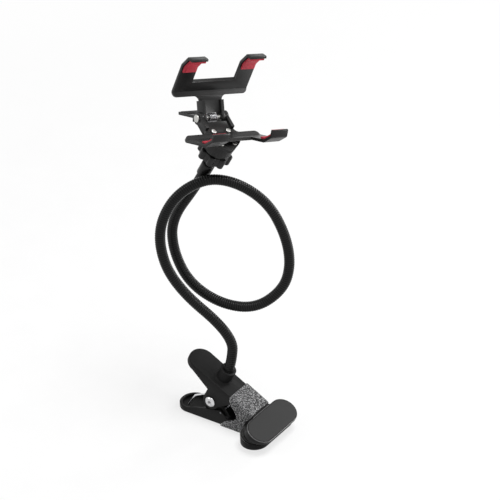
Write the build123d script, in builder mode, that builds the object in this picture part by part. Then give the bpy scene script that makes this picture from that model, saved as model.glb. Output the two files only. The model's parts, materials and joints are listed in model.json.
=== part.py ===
from build123d import *
import os
from math import atan2, cos, hypot, pi, radians, sin, tan

# Holder with a spring desk clamp, a looped gooseneck, a ball joint and a four-finger clip.
# Millimetres. +Z is up and +X runs from the clamp's handles towards its grip pads.
# The origin is the middle of the clamp's grip, where the two pads meet.

os.makedirs("parts", exist_ok=True)

# Fits
run_gap = 0.05
glue_gap = 0.05
side_gap = 0.4
cut_past = 1.0
same_place = 0.01

# Clamp
jaw_tilt = 13.8
clamp_pitch = 11.0
jaw_width = 24.0
jaw_skin = 2.6
jaw_wall = 2.5
jaw_round = 1.0
handle_width = 26.6
handle_reach = 96.5
handle_flat = 1.4
rim_height = 5.0
wall_rise = 2.0
pad_length = 62.0
pad_depth = 26.0
pad_edge = 5.1
pad_stagger = 3.5
grip_thick = 2.0
grip_margin = 1.6
grip_groove = 1.0
groove_pitch = 4.4
groove_deep = 0.7
meet_gap = 0.1
pivot_back = 55.0
pivot_dia = 6.0
cheek_radius = 8.0
cheek_back = 22.6
cheek_front = 17.0
rivet_head = 10.2
rivet_rise = 1.8
rivet_edge = 1.2
stop_pin_dia = 2.0
stop_pin_ahead = 10.6
stop_pin_drop = 8.6
spring_wire = 1.8
spring_turns = 3
coil_gap = 0.6
leg_reach = 22.0
leg_fall = 5.0
toe_reach = 8.5

# Elastic band
band_near = 18.6
band_far = 39.5
band_lean = 6.0
band_thick = 1.2
band_gap = 0.15

# Gooseneck and its fixing
neck_dia = 9.4
neck_back = 58.5
neck_seat = 1.0
boss_dia = 14.4
boss_height = 13.0
boss_skirt = 1.6
skirt_slope = 42.0
plug_dia = 6.4
plug_length = 9.0
plug_floor = 1.0
bolt_dia = 4.0
bolt_gap = 0.15
bolt_short = 1.5
bolt_head_dia = 7.6
bolt_head = 2.6
cross_width = 0.9
cross_deep = 1.4
washer_dia = 8.8
washer_thick = 0.8
neck_rise = 20.0
neck_tail = 44.0
neck_bends = [
    (6, 3, 47),
    (-41, -19, 95),
    (-56, -21, 139),
    (-48, -10, 175),
    (-26, 8, 195),
    (-4, 25, 191),
    (19, 41, 170),
    (33, 48, 138),
    (38, 49, 108),
    (34, 43, 84),
    (15, 28, 65),
    (-13, 14, 67),
    (-41, 5, 84),
    (-58, 5, 112),
    (-61, 8, 142),
]
ball_offset = (-21, 19, 217)

# Ball joint
head_yaw = -8.0
head_pitch = 45.0
head_roll = -19.0
web_lean = 20.0
ball_dia = 17.0
stem_dia = 7.0
shank_dia = 5.0
ferrule_dia = 11.8
ferrule_near = 14.0
ferrule_length = 14.0
ferrule_top = 6.0
ferrule_edge = 1.0
socket_dia = 21.0
socket_lip = 2.2
slit_width = 1.4
slit_top = 4.0
flange_dia = 26.0
flange_thick = 11.0
flange_taper = 5.0
web_height = 16.5
nut_dia = 25.6
nut_lobes = 8
nut_lobe_dia = 6.4
nut_lobe_sink = 0.8
nut_edge = 0.7
nut_mouth = 1.1
nut_length = 9.4
nut_lip = 2.6
nut_cone = 14.5
screw_dia = 2.2
screw_head = 1.5
screw_length = 7.0
screw_gap = 0.1
screw_spots = [(-7.5, 6.5), (7.5, 6.5), (-6.5, -8), (6.5, -8)]

# Clip
held_width = 67.0
hinge_rise = 24.0
plate = 2.6
finger_pad = 1.6
liner_back = 6.0
liner_short = 0.8
liner_inset = 1.2
finger_near = 22.0
finger_far = 38.0
finger_crook = 32.4
finger_floor = 11.6
finger_lip = 4.2
lip_drop = 4.4
finger_slack = 0.3
crook_draw = 0.4
floor_bulge = 0.5
stem_half = 14.5
bar_drop = 5.0
bar_round = 4.6
window_start = 9.0
shield_top = 10.0
shield_side = 6.0
shield_tip = 4.0
ear_thick = 3.0
ear_radius = 5.5
ear_reach = 14.9
ear_half = 4.4
pin_dia = 4.0
pin_head_dia = 6.8
pin_head = 1.4
pin_tail_dia = 5.6
pin_tail = 1.2
lever_reach = 34.0
lever_angle = 150.0
lever_root = 7.0
lever_web = 12.0
lever_ribs = [21.0, 25.5, 30.0]
rib_radius = 0.9
clip_wire = 1.3
clip_turns = 4
clip_legs = [(6.0, 9.5), (12.0, 18.0)]

# Planes of the clamp: each jaw's outer face leans from the meeting plane by the jaw tilt
tilt = radians(jaw_tilt)
meet_height = pad_edge + pad_depth / 2 * tan(tilt)
pivot_height = meet_height + pivot_back * tan(tilt)
handle_round = (handle_width - handle_flat) / 2


def jaw_half(back):
    """Half the width of a jaw at a distance behind the middle of the grip."""
    return (jaw_width + (handle_width - jaw_width) * back / handle_reach) / 2


def leaning(angle, side):
    """A plane through the origin that leans down towards +X, with its normal up or down."""
    a = radians(angle)
    return Plane((0, 0, 0), x_dir=(cos(a), 0, -sin(a)), z_dir=(side * sin(a), 0, side * cos(a)))


meeting = leaning(clamp_pitch, 1)
meeting_back = leaning(clamp_pitch, -1)
lower_face = leaning(clamp_pitch - jaw_tilt, 1).offset(-meet_height)
upper_face = leaning(clamp_pitch + jaw_tilt, -1).offset(-meet_height)
pivot = lower_face.from_local_coords((-pivot_back, 0, pivot_height))
hinge_side = Plane(pivot, x_dir=lower_face.x_dir, z_dir=(0, 1, 0))
foot = Plane(
    upper_face.origin - upper_face.x_dir * neck_back,
    x_dir=upper_face.x_dir,
    z_dir=-upper_face.z_dir,
)

# Planes of the clip: directions out of its face, along its fingers and up its face
yaw = radians(head_yaw)
pitch = radians(head_pitch)
clip_out = Vector(cos(pitch) * cos(yaw), cos(pitch) * sin(yaw), sin(pitch))
clip_along = Vector(-sin(yaw), cos(yaw), 0).rotate(Axis((0, 0, 0), clip_out), head_roll)
clip_up = clip_out.cross(clip_along)
lean = radians(web_lean)
stud_dir = clip_out * cos(lean) + clip_up * sin(lean)
ball_centre = foot.origin + Vector(*ball_offset)
stud = Plane(ball_centre, x_dir=clip_along, z_dir=stud_dir)
hinge = Plane(
    ball_centre + stud_dir * (web_height + plate / 2) + stud.y_dir * hinge_rise,
    x_dir=clip_out,
    z_dir=-clip_along,
)
finger_plan = Plane(hinge.origin, x_dir=clip_along, z_dir=-clip_up)
lower_web = Plane(hinge.origin, x_dir=-clip_along, z_dir=stud_dir)
upper_web = Plane(hinge.origin, x_dir=clip_along, z_dir=clip_out * cos(lean) - clip_up * sin(lean))


# Side view of a jaw above its outer face: the wall along its edge, and the cheek round the pivot
wall_height = pivot_height - cheek_radius - side_gap
channel_height = 0.9 * (pad_edge + pad_depth * tan(tilt) - grip_thick / cos(tilt))
wall_view = [
    (0, jaw_skin / 2),
    (-handle_reach, jaw_skin / 2),
    (-handle_reach, rim_height),
    (handle_round - handle_reach, rim_height),
    (-pivot_back - cheek_radius, wall_height - wall_rise),
    (stop_pin_ahead - pivot_back, wall_height + wall_rise),
    (cheek_front - pivot_back, channel_height),
    (0, channel_height),
]
cheek_view = [
    (-pivot_back - cheek_back, jaw_skin),
    (cheek_front - pivot_back, jaw_skin),
    (cheek_front - pivot_back, channel_height),
    (cheek_radius - pivot_back, pivot_height),
    (-cheek_radius - pivot_back, pivot_height),
    (-cheek_radius - pivot_back, pivot_height / 2),
]


def side_plane(face):
    """The upright plane down the middle of a jaw."""
    return Plane(face.origin, x_dir=face.x_dir, z_dir=-face.y_dir)


def jaw_plate(face, stop, shift):
    """The outer skin of a jaw with its handle, and the wedge behind its grip pad."""
    pad_back = shift - pad_depth / 2
    with BuildPart() as plate_part:
        with BuildSketch(face) as plan:
            Polygon(
                (0, -jaw_width / 2),
                (0, jaw_width / 2),
                (-handle_reach, handle_width / 2),
                (-handle_reach, -handle_width / 2),
                align=None,
            )
            fillet(plan.vertices().group_by(Axis.X)[0], handle_round)
            with Locations((shift, 0)):
                SlotOverall(pad_length, pad_depth, rotation=90)
            crooks = plan.vertices().filter_by(lambda v: abs(v.X - pad_back) < same_place)
            fillet(crooks.filter_by(lambda v: abs(v.Y) < handle_width / 2), 2 * jaw_round)
        extrude(amount=jaw_skin)
        with BuildSketch(face):
            with Locations((shift, 0)):
                SlotOverall(pad_length, pad_depth, rotation=90)
        extrude(amount=2 * meet_height)
        split(bisect_by=stop, keep=Keep.BOTTOM)
        outside = plate_part.faces().sort_by(Axis(face.origin, face.z_dir))[0]
        fillet(outside.edges(), jaw_round)
    return plate_part.part


def jaw_walls(face, shift, views):
    """The wall along a jaw's tapered edge, as high as its side views allow."""
    front = shift + jaw_wall / 2 - pad_depth / 2
    with BuildPart() as walls:
        with BuildSketch(face.offset(jaw_skin / 2)) as ring:
            Polygon(
                (front, -jaw_half(-front)),
                (front, jaw_half(-front)),
                (-handle_reach, handle_width / 2),
                (-handle_reach, -handle_width / 2),
                align=None,
            )
            fillet(ring.vertices().group_by(Axis.X)[0], handle_round)
            offset(amount=-jaw_wall, mode=Mode.SUBTRACT)
        extrude(amount=pivot_height + cheek_radius)
        with BuildSketch(side_plane(face)):
            for view in views:
                Polygon(*view, align=None)
            if cheek_view in views:
                with Locations((-pivot_back, pivot_height)):
                    Circle(cheek_radius)
        extrude(amount=handle_width, both=True, mode=Mode.INTERSECT)
    return walls.part


def grip_pad(face, shift):
    """A ribbed liner whose back is sunk one thickness below the given meeting face."""
    middle = shift / cos(tilt)
    with BuildPart() as liner:
        with BuildSketch(face.offset(glue_gap - grip_thick)):
            with Locations((middle + grip_thick * tan(tilt), 0)):
                SlotOverall(pad_length - 2 * grip_margin, pad_depth - 2 * grip_margin, rotation=90)
        extrude(amount=grip_thick - glue_gap - meet_gap)
        with BuildSketch(face.offset(-meet_gap)):
            with Locations((middle, 0)):
                with GridLocations(groove_pitch, 1, 5, 1):
                    Rectangle(grip_groove, pad_length)
        extrude(amount=-groove_deep, mode=Mode.SUBTRACT)
    return liner.part


def torsion_spring(frame, radius, wire, turns, first, last):
    """A close coil about the frame's Z axis. Each leg runs to a knee and on to a tip of the XY plane."""
    reaches = [(hypot(*knee) ** 2 - radius ** 2) ** 0.5 for knee, tip in (first, last)]
    start = atan2(*first[0][::-1]) + atan2(reaches[0], radius)
    stop = atan2(*last[0][::-1]) - atan2(reaches[1], radius)
    pitch = 1.2 * wire
    height = pitch * (turns + (stop - start) / (2 * pi) % 1)
    base = frame.offset(-height / 2)
    towards = base.x_dir * cos(start) + base.y_dir * sin(start)
    coil = Plane(base.origin, x_dir=towards, z_dir=base.z_dir).location * Helix(pitch, height, radius)
    knees = [coil @ 0 - (coil % 0) * reaches[0], coil @ 1 + (coil % 1) * reaches[1]]
    toes = [base.x_dir * (tip[0] - knee[0]) + base.y_dir * (tip[1] - knee[1]) for knee, tip in (first, last)]
    with BuildPart() as spring:
        with BuildLine() as path:
            FilletPolyline(knees[0] + toes[0], knees[0], coil @ 0, radius=2 * wire)
            add(coil)
            FilletPolyline(coil @ 1, knees[1], knees[1] + toes[1], radius=2 * wire)
        with BuildSketch(Plane(path.line @ 0, z_dir=path.line % 0)):
            Circle(wire / 2)
        sweep(path=path.line)
    return spring.part


def bend_radii(points):
    """The widest fillet at each inner point that keeps to 0.45 of its shorter run."""
    radii = []
    for a, b, c in zip(points, points[1:], points[2:]):
        run = min((b - a).length, (c - b).length)
        half_turn = radians((b - a).get_angle(c - b)) / 2
        radii.append(0.45 * run / tan(half_turn))
    return radii


def strip(path, low, high):
    """Outline between two parallel offsets of an open path, with mitred corners."""
    sides = []
    for shift in (low, high):
        side = []
        for i, here in enumerate(path):
            before = (here - path[i - 1]).normalized() if i else None
            after = (path[i + 1] - here).normalized() if i + 1 < len(path) else None
            before = before or after
            after = after or before
            mitre = Vector(-before.Y - after.Y, before.X + after.X) / (1 + before.dot(after))
            side.append(here + mitre * shift)
        sides.append(side)
    return sides[0] + sides[1][::-1]


def mirrored(points, sign):
    """The points of the upper claw's side view, turned over for the lower claw."""
    return [(p.X, sign * p.Y) for p in points]


def near(vertex, points):
    """Whether a sketch vertex lies on one of the points."""
    return min(hypot(vertex.X - x, vertex.Y - y) for x, y in points) < same_place


# Side view of a claw out from the hinge: crook of the web, then crook, floor and lip of a finger
finger_out = held_width / 2 + finger_pad + glue_gap + plate / 2 + finger_slack
stem_run = Vector(sin(lean), cos(lean))
claw_path = [
    stem_run * hinge_rise,
    Vector(finger_crook, finger_out - crook_draw),
    Vector(finger_crook + finger_floor, finger_out + floor_bulge),
    Vector(finger_crook + finger_floor + finger_lip, finger_out + floor_bulge - lip_drop),
]


def claw(web, sign, stem, root):
    """A bent plate with a narrow stem at the hinge, a cross bar and two hooked fingers."""
    bar_low = hinge_rise - bar_drop
    path = [stem_run * root] + claw_path
    with BuildPart() as shape:
        with BuildSketch(hinge) as side:
            Polygon(*mirrored(strip(path, -plate / 2, plate / 2), sign), align=None)
            bends = mirrored(strip(path, plate / 2, plate / 2)[1:4], sign)
            fillet(side.vertices().filter_by(lambda v: near(v, bends)), plate * 0.9)
            tips = mirrored(strip(path, -plate / 2, plate / 2)[4:6], sign)
            fillet(side.vertices().filter_by(lambda v: near(v, tips)), plate * 0.4)
        extrude(amount=finger_far, both=True)
        with BuildSketch(finger_plan):
            with Locations((0, claw_path[0].X + window_start)):
                Rectangle(2 * finger_near, 2 * finger_out, align=(Align.CENTER, Align.MIN))
        extrude(amount=2 * finger_out, both=True, mode=Mode.SUBTRACT)
        with BuildSketch(web) as plan:
            with Locations((0, bar_low)):
                Rectangle(2 * finger_far, 4 * finger_out, align=(Align.CENTER, Align.MIN))
            fillet(plan.vertices().group_by(Axis.Y)[0], bar_round)
            Rectangle(2 * stem, 2 * hinge_rise)
            inner = [(-stem, bar_low), (stem, bar_low)]
            fillet(plan.vertices().filter_by(lambda v: near(v, inner)), bar_round)
        extrude(amount=4 * finger_out, both=True, mode=Mode.INTERSECT)
    return shape.part


def finger_liner(sign, side):
    """The soft pad inside one hooked finger."""
    back = claw_path[1] + (claw_path[0] - claw_path[1]).normalized() * liner_back
    tip = claw_path[3] + (claw_path[2] - claw_path[3]).normalized() * liner_short
    inner = -plate / 2 - glue_gap
    middle = side * (finger_near + finger_far) / 2
    with BuildPart() as liner:
        with BuildSketch(hinge.offset(-middle)) as outline:
            path = [back, claw_path[1], claw_path[2], tip]
            Polygon(*mirrored(strip(path, inner - finger_pad, inner), sign), align=None)
            ends = outline.vertices().group_by(Axis.X)
            fillet(ends[0] + ends[-1], finger_pad * 0.35)
        extrude(amount=(finger_far - finger_near) / 2 - liner_inset, both=True)
    return liner.part


# Upper jaw with its outer cheeks and the neck's boss
upper_plate = jaw_plate(upper_face, meeting_back.offset(-grip_thick), 0)
upper_walls = jaw_walls(upper_face, 0, [wall_view, cheek_view])
with BuildPart() as upper_jaw:
    add(upper_plate)
    add(upper_walls)
    with BuildSketch(Plane(pivot, z_dir=(0, 1, 0))):
        Circle(pivot_dia / 2 + run_gap)
    extrude(amount=handle_width, both=True, mode=Mode.SUBTRACT)
    with BuildSketch(foot.offset(-jaw_skin / 2)):
        Circle(boss_dia / 2)
    extrude(amount=boss_height + jaw_skin / 2)
    with BuildSketch(foot):
        Circle(boss_dia / 2 + boss_skirt)
    extrude(amount=boss_skirt, taper=skirt_slope)
    with BuildSketch(foot.offset(neck_seat)):
        Circle(neck_dia / 2 + 2 * run_gap)
    extrude(amount=boss_height, mode=Mode.SUBTRACT)
    with BuildSketch(foot.offset(-2 * jaw_skin)):
        Circle(bolt_dia / 2 + bolt_gap)
    extrude(amount=2 * jaw_skin + neck_seat, mode=Mode.SUBTRACT)
upper_jaw.part.label = "upper_jaw"
export_step(upper_jaw.part, "parts/upper_jaw.step")

# Lower jaw, whose cheeks stand inside the upper ones and whose walls carry the stop pin
lower_cheek = jaw_half(pivot_back) - jaw_wall - side_gap
stop_pin = hinge_side.from_local_coords((stop_pin_ahead, stop_pin_drop, 0))
lower_plate = jaw_plate(lower_face, meeting.offset(-grip_thick), -pad_stagger)
lower_walls = jaw_walls(lower_face, -pad_stagger, [wall_view])
with BuildPart() as lower_jaw:
    add(lower_plate)
    for side in (lower_cheek - jaw_wall, -lower_cheek):
        with BuildSketch(side_plane(lower_face).offset(side)):
            Polygon(*cheek_view, align=None)
            with Locations((-pivot_back, pivot_height)):
                Circle(cheek_radius)
        extrude(amount=jaw_wall)
    add(lower_walls)
    with BuildSketch(Plane(pivot, z_dir=(0, 1, 0))):
        Circle(pivot_dia / 2 + run_gap)
    extrude(amount=handle_width, both=True, mode=Mode.SUBTRACT)
    with BuildSketch(Plane(stop_pin, z_dir=(0, 1, 0))):
        Circle(stop_pin_dia / 2 + run_gap)
    extrude(amount=handle_width, both=True, mode=Mode.SUBTRACT)
lower_jaw.part.label = "lower_jaw"
export_step(lower_jaw.part, "parts/lower_jaw.step")

# Cross pin through the lower jaw's walls
with BuildPart() as cross_pin:
    with BuildSketch(Plane(stop_pin, z_dir=(0, 1, 0))):
        Circle(stop_pin_dia / 2)
    extrude(amount=jaw_half(pivot_back) + stop_pin_dia / 10, both=True)
    chamfer(cross_pin.edges().filter_by(GeomType.CIRCLE), stop_pin_dia / 10)
cross_pin.part.label = "stop_pin"
export_step(cross_pin.part, "parts/stop_pin.step")

# Rubber liners
upper_liner = grip_pad(meeting_back, 0)
with BuildPart() as upper_grip_pad:
    add(upper_liner)
upper_grip_pad.part.label = "upper_grip_pad"
export_step(upper_grip_pad.part, "parts/upper_grip_pad.step")

lower_liner = grip_pad(meeting, -pad_stagger)
with BuildPart() as lower_grip_pad:
    add(lower_liner)
lower_grip_pad.part.label = "lower_grip_pad"
export_step(lower_grip_pad.part, "parts/lower_grip_pad.step")

# Tubular rivet with a dimple in each head
rivet_half = jaw_half(pivot_back + rivet_head) + glue_gap
rivet_end = rivet_half + rivet_rise
rivet_shoulder = rivet_end - rivet_edge
with BuildPart() as pivot_rivet:
    with BuildSketch(Plane(pivot, x_dir=(0, 1, 0), z_dir=(1, 0, 0))):
        Polygon(
            (-rivet_shoulder, 0),
            (-rivet_shoulder, rivet_head / 6),
            (-rivet_end, rivet_head / 6),
            (-rivet_end, rivet_head / 2 - rivet_edge),
            (-rivet_shoulder, rivet_head / 2),
            (-rivet_half, rivet_head / 2),
            (-rivet_half, pivot_dia / 2),
            (rivet_half, pivot_dia / 2),
            (rivet_half, rivet_head / 2),
            (rivet_shoulder, rivet_head / 2),
            (rivet_end, rivet_head / 2 - rivet_edge),
            (rivet_end, rivet_head / 6),
            (rivet_shoulder, rivet_head / 6),
            (rivet_shoulder, 0),
            align=None,
        )
    revolve(axis=Axis(pivot, (0, 1, 0)))
pivot_rivet.part.label = "pivot_rivet"
export_step(pivot_rivet.part, "parts/pivot_rivet.step")

# Clamp spring: each leg crosses the pivot and bends to lie on its own handle
def across_meeting(point):
    """The mirror image, in the plane where the jaws meet, of a point beside the pivot."""
    return tuple(hypot(*point) * f(2 * tilt - atan2(point[1], point[0])) for f in (cos, sin))


floor_drop = pivot_height - jaw_skin - spring_wire / 2 - side_gap / 2
low_knee = (-leg_reach, leg_fall)
low_tip = (-leg_reach - toe_reach, floor_drop)
clamp_coil = torsion_spring(
    hinge_side,
    pivot_dia / 2 + coil_gap + spring_wire / 2,
    spring_wire,
    spring_turns,
    (low_knee, low_tip),
    (across_meeting(low_knee), across_meeting(low_tip)),
)
with BuildPart() as clamp_spring:
    add(clamp_coil)
clamp_spring.part.label = "clamp_spring"
export_step(clamp_spring.part, "parts/clamp_spring.step")

# Elastic band, a tapered ring round both jaws that leans forward over the upper one
band_run = leaning(clamp_pitch + band_lean, 1)
with BuildPart() as elastic_band:
    for grow, mode in ((band_gap + band_thick, Mode.ADD), (band_gap, Mode.SUBTRACT)):
        for back in (band_near, band_far):
            spot = meeting.x_dir * -back
            up, down = [
                (face.origin - spot).dot(face.z_dir) / band_run.z_dir.dot(face.z_dir)
                for face in (upper_face, lower_face)
            ]
            with BuildSketch(Plane(spot, x_dir=(0, 1, 0), z_dir=band_run.x_dir)):
                with Locations((0, (up + down) / 2)):
                    RectangleRounded(2 * (jaw_half(back) + grow), up - down + 2 * grow, jaw_round + grow)
        loft(mode=mode)
elastic_band.part.label = "elastic_band"
export_step(elastic_band.part, "parts/elastic_band.step")

# Plug, bolt and washer that hold the neck from inside the upper jaw
with BuildPart() as base_plug:
    with BuildSketch(foot.offset(neck_seat + glue_gap)):
        Circle(plug_dia / 2)
    extrude(amount=plug_length)
    with BuildSketch(foot.offset(neck_seat)):
        Circle(bolt_dia / 2 + run_gap)
    extrude(amount=plug_length - plug_floor, mode=Mode.SUBTRACT)
base_plug.part.label = "base_plug"
export_step(base_plug.part, "parts/base_plug.step")

washer_face = foot.offset(-jaw_skin - glue_gap)
with BuildPart() as neck_washer:
    with BuildSketch(washer_face):
        Circle(washer_dia / 2)
        Circle(bolt_dia / 2 + bolt_gap, mode=Mode.SUBTRACT)
    extrude(amount=-washer_thick)
neck_washer.part.label = "neck_washer"
export_step(neck_washer.part, "parts/neck_washer.step")

head_face = washer_face.offset(-washer_thick - glue_gap)
with BuildPart() as neck_bolt:
    with BuildSketch(head_face):
        Circle(bolt_head_dia / 2)
    extrude(amount=-bolt_head)
    with BuildSketch(head_face):
        Circle(bolt_dia / 2)
    extrude(amount=jaw_skin + washer_thick + neck_seat + plug_length - plug_floor - bolt_short)
    with BuildSketch(head_face.offset(-bolt_head)):
        Rectangle(bolt_dia, cross_width)
        Rectangle(cross_width, bolt_dia)
    extrude(amount=cross_deep, mode=Mode.SUBTRACT)
neck_bolt.part.label = "neck_bolt"
export_step(neck_bolt.part, "parts/neck_bolt.step")

# Gooseneck: straight runs joined by tangent arcs, from the boss round its loop to the ferrule
neck_end = ferrule_near + ferrule_top + glue_gap
route = [foot.origin + foot.z_dir * (neck_seat + glue_gap), foot.origin + foot.z_dir * neck_rise]
route += [foot.origin + Vector(*bend) for bend in neck_bends]
route += [ball_centre - stud_dir * neck_tail, ball_centre - stud_dir * neck_end]
with BuildPart() as gooseneck:
    with BuildLine() as centre:
        FilletPolyline(*route, radius=bend_radii(route))
    with BuildSketch(Plane(centre.line @ 0, z_dir=centre.line % 0)):
        Circle(neck_dia / 2)
    sweep(path=centre.line)
    with BuildSketch(foot.offset(neck_seat)):
        Circle(plug_dia / 2 + run_gap)
    extrude(amount=plug_length + 2 * glue_gap, mode=Mode.SUBTRACT)
gooseneck.part.label = "gooseneck"
export_step(gooseneck.part, "parts/gooseneck.step")

# Ferrule on the neck's upper end
with BuildPart() as top_ferrule:
    with BuildSketch(stud.offset(-ferrule_near)):
        Circle(ferrule_dia / 2)
    extrude(amount=-ferrule_length)
    chamfer(top_ferrule.edges(), ferrule_edge)
    with BuildSketch(stud.offset(-ferrule_near - ferrule_top)):
        Circle(neck_dia / 2 + run_gap)
    extrude(amount=-ferrule_length, mode=Mode.SUBTRACT)
    with BuildSketch(stud.offset(-ferrule_near)):
        Circle(shank_dia / 2 + run_gap)
    extrude(amount=-ferrule_top, mode=Mode.SUBTRACT)
top_ferrule.part.label = "top_ferrule"
export_step(top_ferrule.part, "parts/top_ferrule.step")

# Ball with its stem and shank
with BuildPart() as ball_stud:
    with Locations(stud):
        Sphere(ball_dia / 2)
    with BuildSketch(stud):
        Circle(stem_dia / 2)
    extrude(amount=glue_gap - ferrule_near)
    with BuildSketch(stud):
        Circle(shank_dia / 2)
    extrude(amount=glue_gap - ferrule_near - ferrule_top)
ball_stud.part.label = "ball_stud"
export_step(ball_stud.part, "parts/ball_stud.step")

# Slit socket that widens into a tapered housing against the lower claw
flange_face = stud.offset(web_height - glue_gap)
with BuildPart() as ball_socket:
    with BuildSketch(stud.offset(-socket_lip)):
        Circle(socket_dia / 2)
    extrude(amount=web_height - flange_thick + socket_lip)
    with BuildSketch(flange_face.offset(-flange_thick)):
        Circle(flange_dia / 2)
    extrude(amount=flange_thick, taper=flange_taper)
    with Locations(stud):
        Sphere(ball_dia / 2 + run_gap, mode=Mode.SUBTRACT)
    with BuildSketch(stud.offset(-socket_lip)):
        Rectangle(2 * socket_dia, slit_width)
        Rectangle(slit_width, 2 * socket_dia)
    extrude(amount=socket_lip + slit_top, mode=Mode.SUBTRACT)
    with BuildSketch(flange_face):
        with Locations(*screw_spots):
            Circle(screw_dia / 2 + run_gap)
    extrude(amount=plate - screw_length - side_gap, mode=Mode.SUBTRACT)
ball_socket.part.label = "ball_socket"
export_step(ball_socket.part, "parts/ball_socket.step")

# Lobed ring that closes the socket on the ball
nut_start = -socket_lip - side_gap - nut_lip
with BuildPart() as lock_nut:
    with BuildSketch(stud.offset(nut_start)):
        Circle(nut_dia / 2)
        with PolarLocations(nut_dia / 2 - nut_lobe_sink, nut_lobes):
            Circle(nut_lobe_dia / 2)
    extrude(amount=nut_length)
    ends = lock_nut.faces().filter_by(stud).edges()
    chamfer(ends, nut_edge)
    with BuildSketch(stud.offset(nut_start + nut_lip)):
        Circle(socket_dia / 2 + 2 * run_gap)
    extrude(amount=nut_length, mode=Mode.SUBTRACT)
    with BuildSketch(stud.offset(nut_start)):
        Circle(ball_dia / 2 + nut_mouth)
    extrude(amount=nut_lip, taper=nut_cone, mode=Mode.SUBTRACT)
lock_nut.part.label = "lock_nut"
export_step(lock_nut.part, "parts/lock_nut.step")

# Lower claw: fingers, shield plate for the socket and two hinge ears
lower_fingers = claw(lower_web, -1, stem_half, ear_radius + side_gap)
with BuildPart() as clip_lower_claw:
    add(lower_fingers)
    with BuildSketch(stud.offset(web_height)) as shield:
        Polygon(
            (-stem_half, shield_top),
            (-stem_half, -shield_side),
            (0, -flange_dia / 2 - shield_tip),
            (stem_half, -shield_side),
            (stem_half, shield_top),
            align=None,
        )
        fillet(shield.vertices().group_by(Axis.Y)[0], bar_round)
        sides = shield.vertices().filter_by(lambda v: abs(v.Y + shield_side) < same_place)
        fillet(sides, bar_round)
    extrude(amount=plate)
    for offset_a in (stem_half - ear_thick, -stem_half):
        with BuildSketch(hinge.offset(offset_a)):
            Circle(ear_radius)
            ear = [Vector(0, 0), stem_run * ear_reach]
            Polygon(*mirrored(strip(ear, -ear_half, ear_half), -1), align=None)
        extrude(amount=ear_thick)
    with BuildSketch(hinge):
        Circle(pin_dia / 2 + run_gap)
    extrude(amount=finger_far, both=True, mode=Mode.SUBTRACT)
    with BuildSketch(stud.offset(web_height - cut_past)):
        with Locations(*screw_spots):
            Circle(screw_dia / 2 + screw_gap)
    extrude(amount=plate + 2 * cut_past, mode=Mode.SUBTRACT)
clip_lower_claw.part.label = "clip_lower_claw"
export_step(clip_lower_claw.part, "parts/clip_lower_claw.step")

# Four screws from the shield plate into the socket's flange
with BuildPart() as socket_screws:
    with BuildSketch(stud.offset(web_height + plate + glue_gap)):
        with Locations(*screw_spots):
            Circle(screw_dia)
    extrude(amount=screw_head)
    with BuildSketch(stud.offset(web_height + plate + glue_gap)):
        with Locations(*screw_spots):
            Circle(screw_dia / 2)
    extrude(amount=-screw_length)
socket_screws.part.label = "socket_screws"
export_step(socket_screws.part, "parts/socket_screws.step")

# Upper claw: fingers, two inner ears and a ribbed thumb lever
upper_half = stem_half - ear_thick - side_gap
lever = Vector(cos(radians(lever_angle)), sin(radians(lever_angle)))
upper_fingers = claw(upper_web, 1, upper_half, pin_dia)
with BuildPart() as clip_upper_claw:
    add(upper_fingers)
    for offset_a in (upper_half - ear_thick, -upper_half):
        with BuildSketch(hinge.offset(offset_a)):
            Circle(ear_radius)
            ear = [Vector(0, 0), stem_run * ear_reach]
            Polygon(*mirrored(strip(ear, -ear_half, ear_half), 1), align=None)
            tail = [Vector(0, 0), lever * lever_web]
            Polygon(*mirrored(strip(tail, -plate / 2, ear_half), 1), align=None)
        extrude(amount=ear_thick)
    with BuildSketch(hinge) as side:
        blade = [lever * lever_root, lever * lever_reach]
        Polygon(*mirrored(strip(blade, -plate / 2, plate / 2), 1), align=None)
        for spot in lever_ribs:
            with Locations(lever * spot + Vector(lever.Y, -lever.X) * plate / 2):
                Circle(rib_radius)
        fillet(side.vertices().group_by(Axis.X)[0], plate * 0.4)
    extrude(amount=upper_half, both=True)
    with BuildSketch(hinge):
        Circle(pin_dia / 2 + run_gap)
    extrude(amount=finger_far, both=True, mode=Mode.SUBTRACT)
clip_upper_claw.part.label = "clip_upper_claw"
export_step(clip_upper_claw.part, "parts/clip_upper_claw.step")

# Hinge pin with two heads
with BuildPart() as clip_pin:
    with BuildSketch(hinge):
        Circle(pin_dia / 2)
    extrude(amount=stem_half + glue_gap, both=True)
    with BuildSketch(hinge.offset(stem_half + glue_gap)):
        Circle(pin_head_dia / 2)
    extrude(amount=pin_head)
    with BuildSketch(hinge.offset(-stem_half - glue_gap)):
        Circle(pin_tail_dia / 2)
    extrude(amount=-pin_tail)
clip_pin.part.label = "clip_pin"
export_step(clip_pin.part, "parts/clip_pin.step")

# Clip spring, seen from the far end: one leg behind the lower claw's stem, one under the lever
far_end = Plane(hinge.origin, x_dir=clip_out, z_dir=clip_along)
leg_off = plate / 2 + clip_wire / 2 + side_gap / 4
lever_run = Vector(lever.X, -lever.Y)
stem_line = [stem_run * n - Vector(stem_run.Y, -stem_run.X) * leg_off for n in clip_legs[0]]
lever_line = [lever_run * n + Vector(lever_run.Y, -lever_run.X) * leg_off for n in clip_legs[1]]
clip_coil = torsion_spring(
    far_end,
    pin_dia / 2 + coil_gap + clip_wire / 2,
    clip_wire,
    clip_turns,
    [(p.X, p.Y) for p in stem_line],
    [(p.X, p.Y) for p in lever_line],
)
with BuildPart() as clip_spring:
    add(clip_coil)
clip_spring.part.label = "clip_spring"
export_step(clip_spring.part, "parts/clip_spring.step")

# Soft pads in the four fingers
upper_left_soft = finger_liner(1, -1)
with BuildPart() as upper_left_pad:
    add(upper_left_soft)
upper_left_pad.part.label = "upper_left_pad"
export_step(upper_left_pad.part, "parts/upper_left_pad.step")

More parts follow.
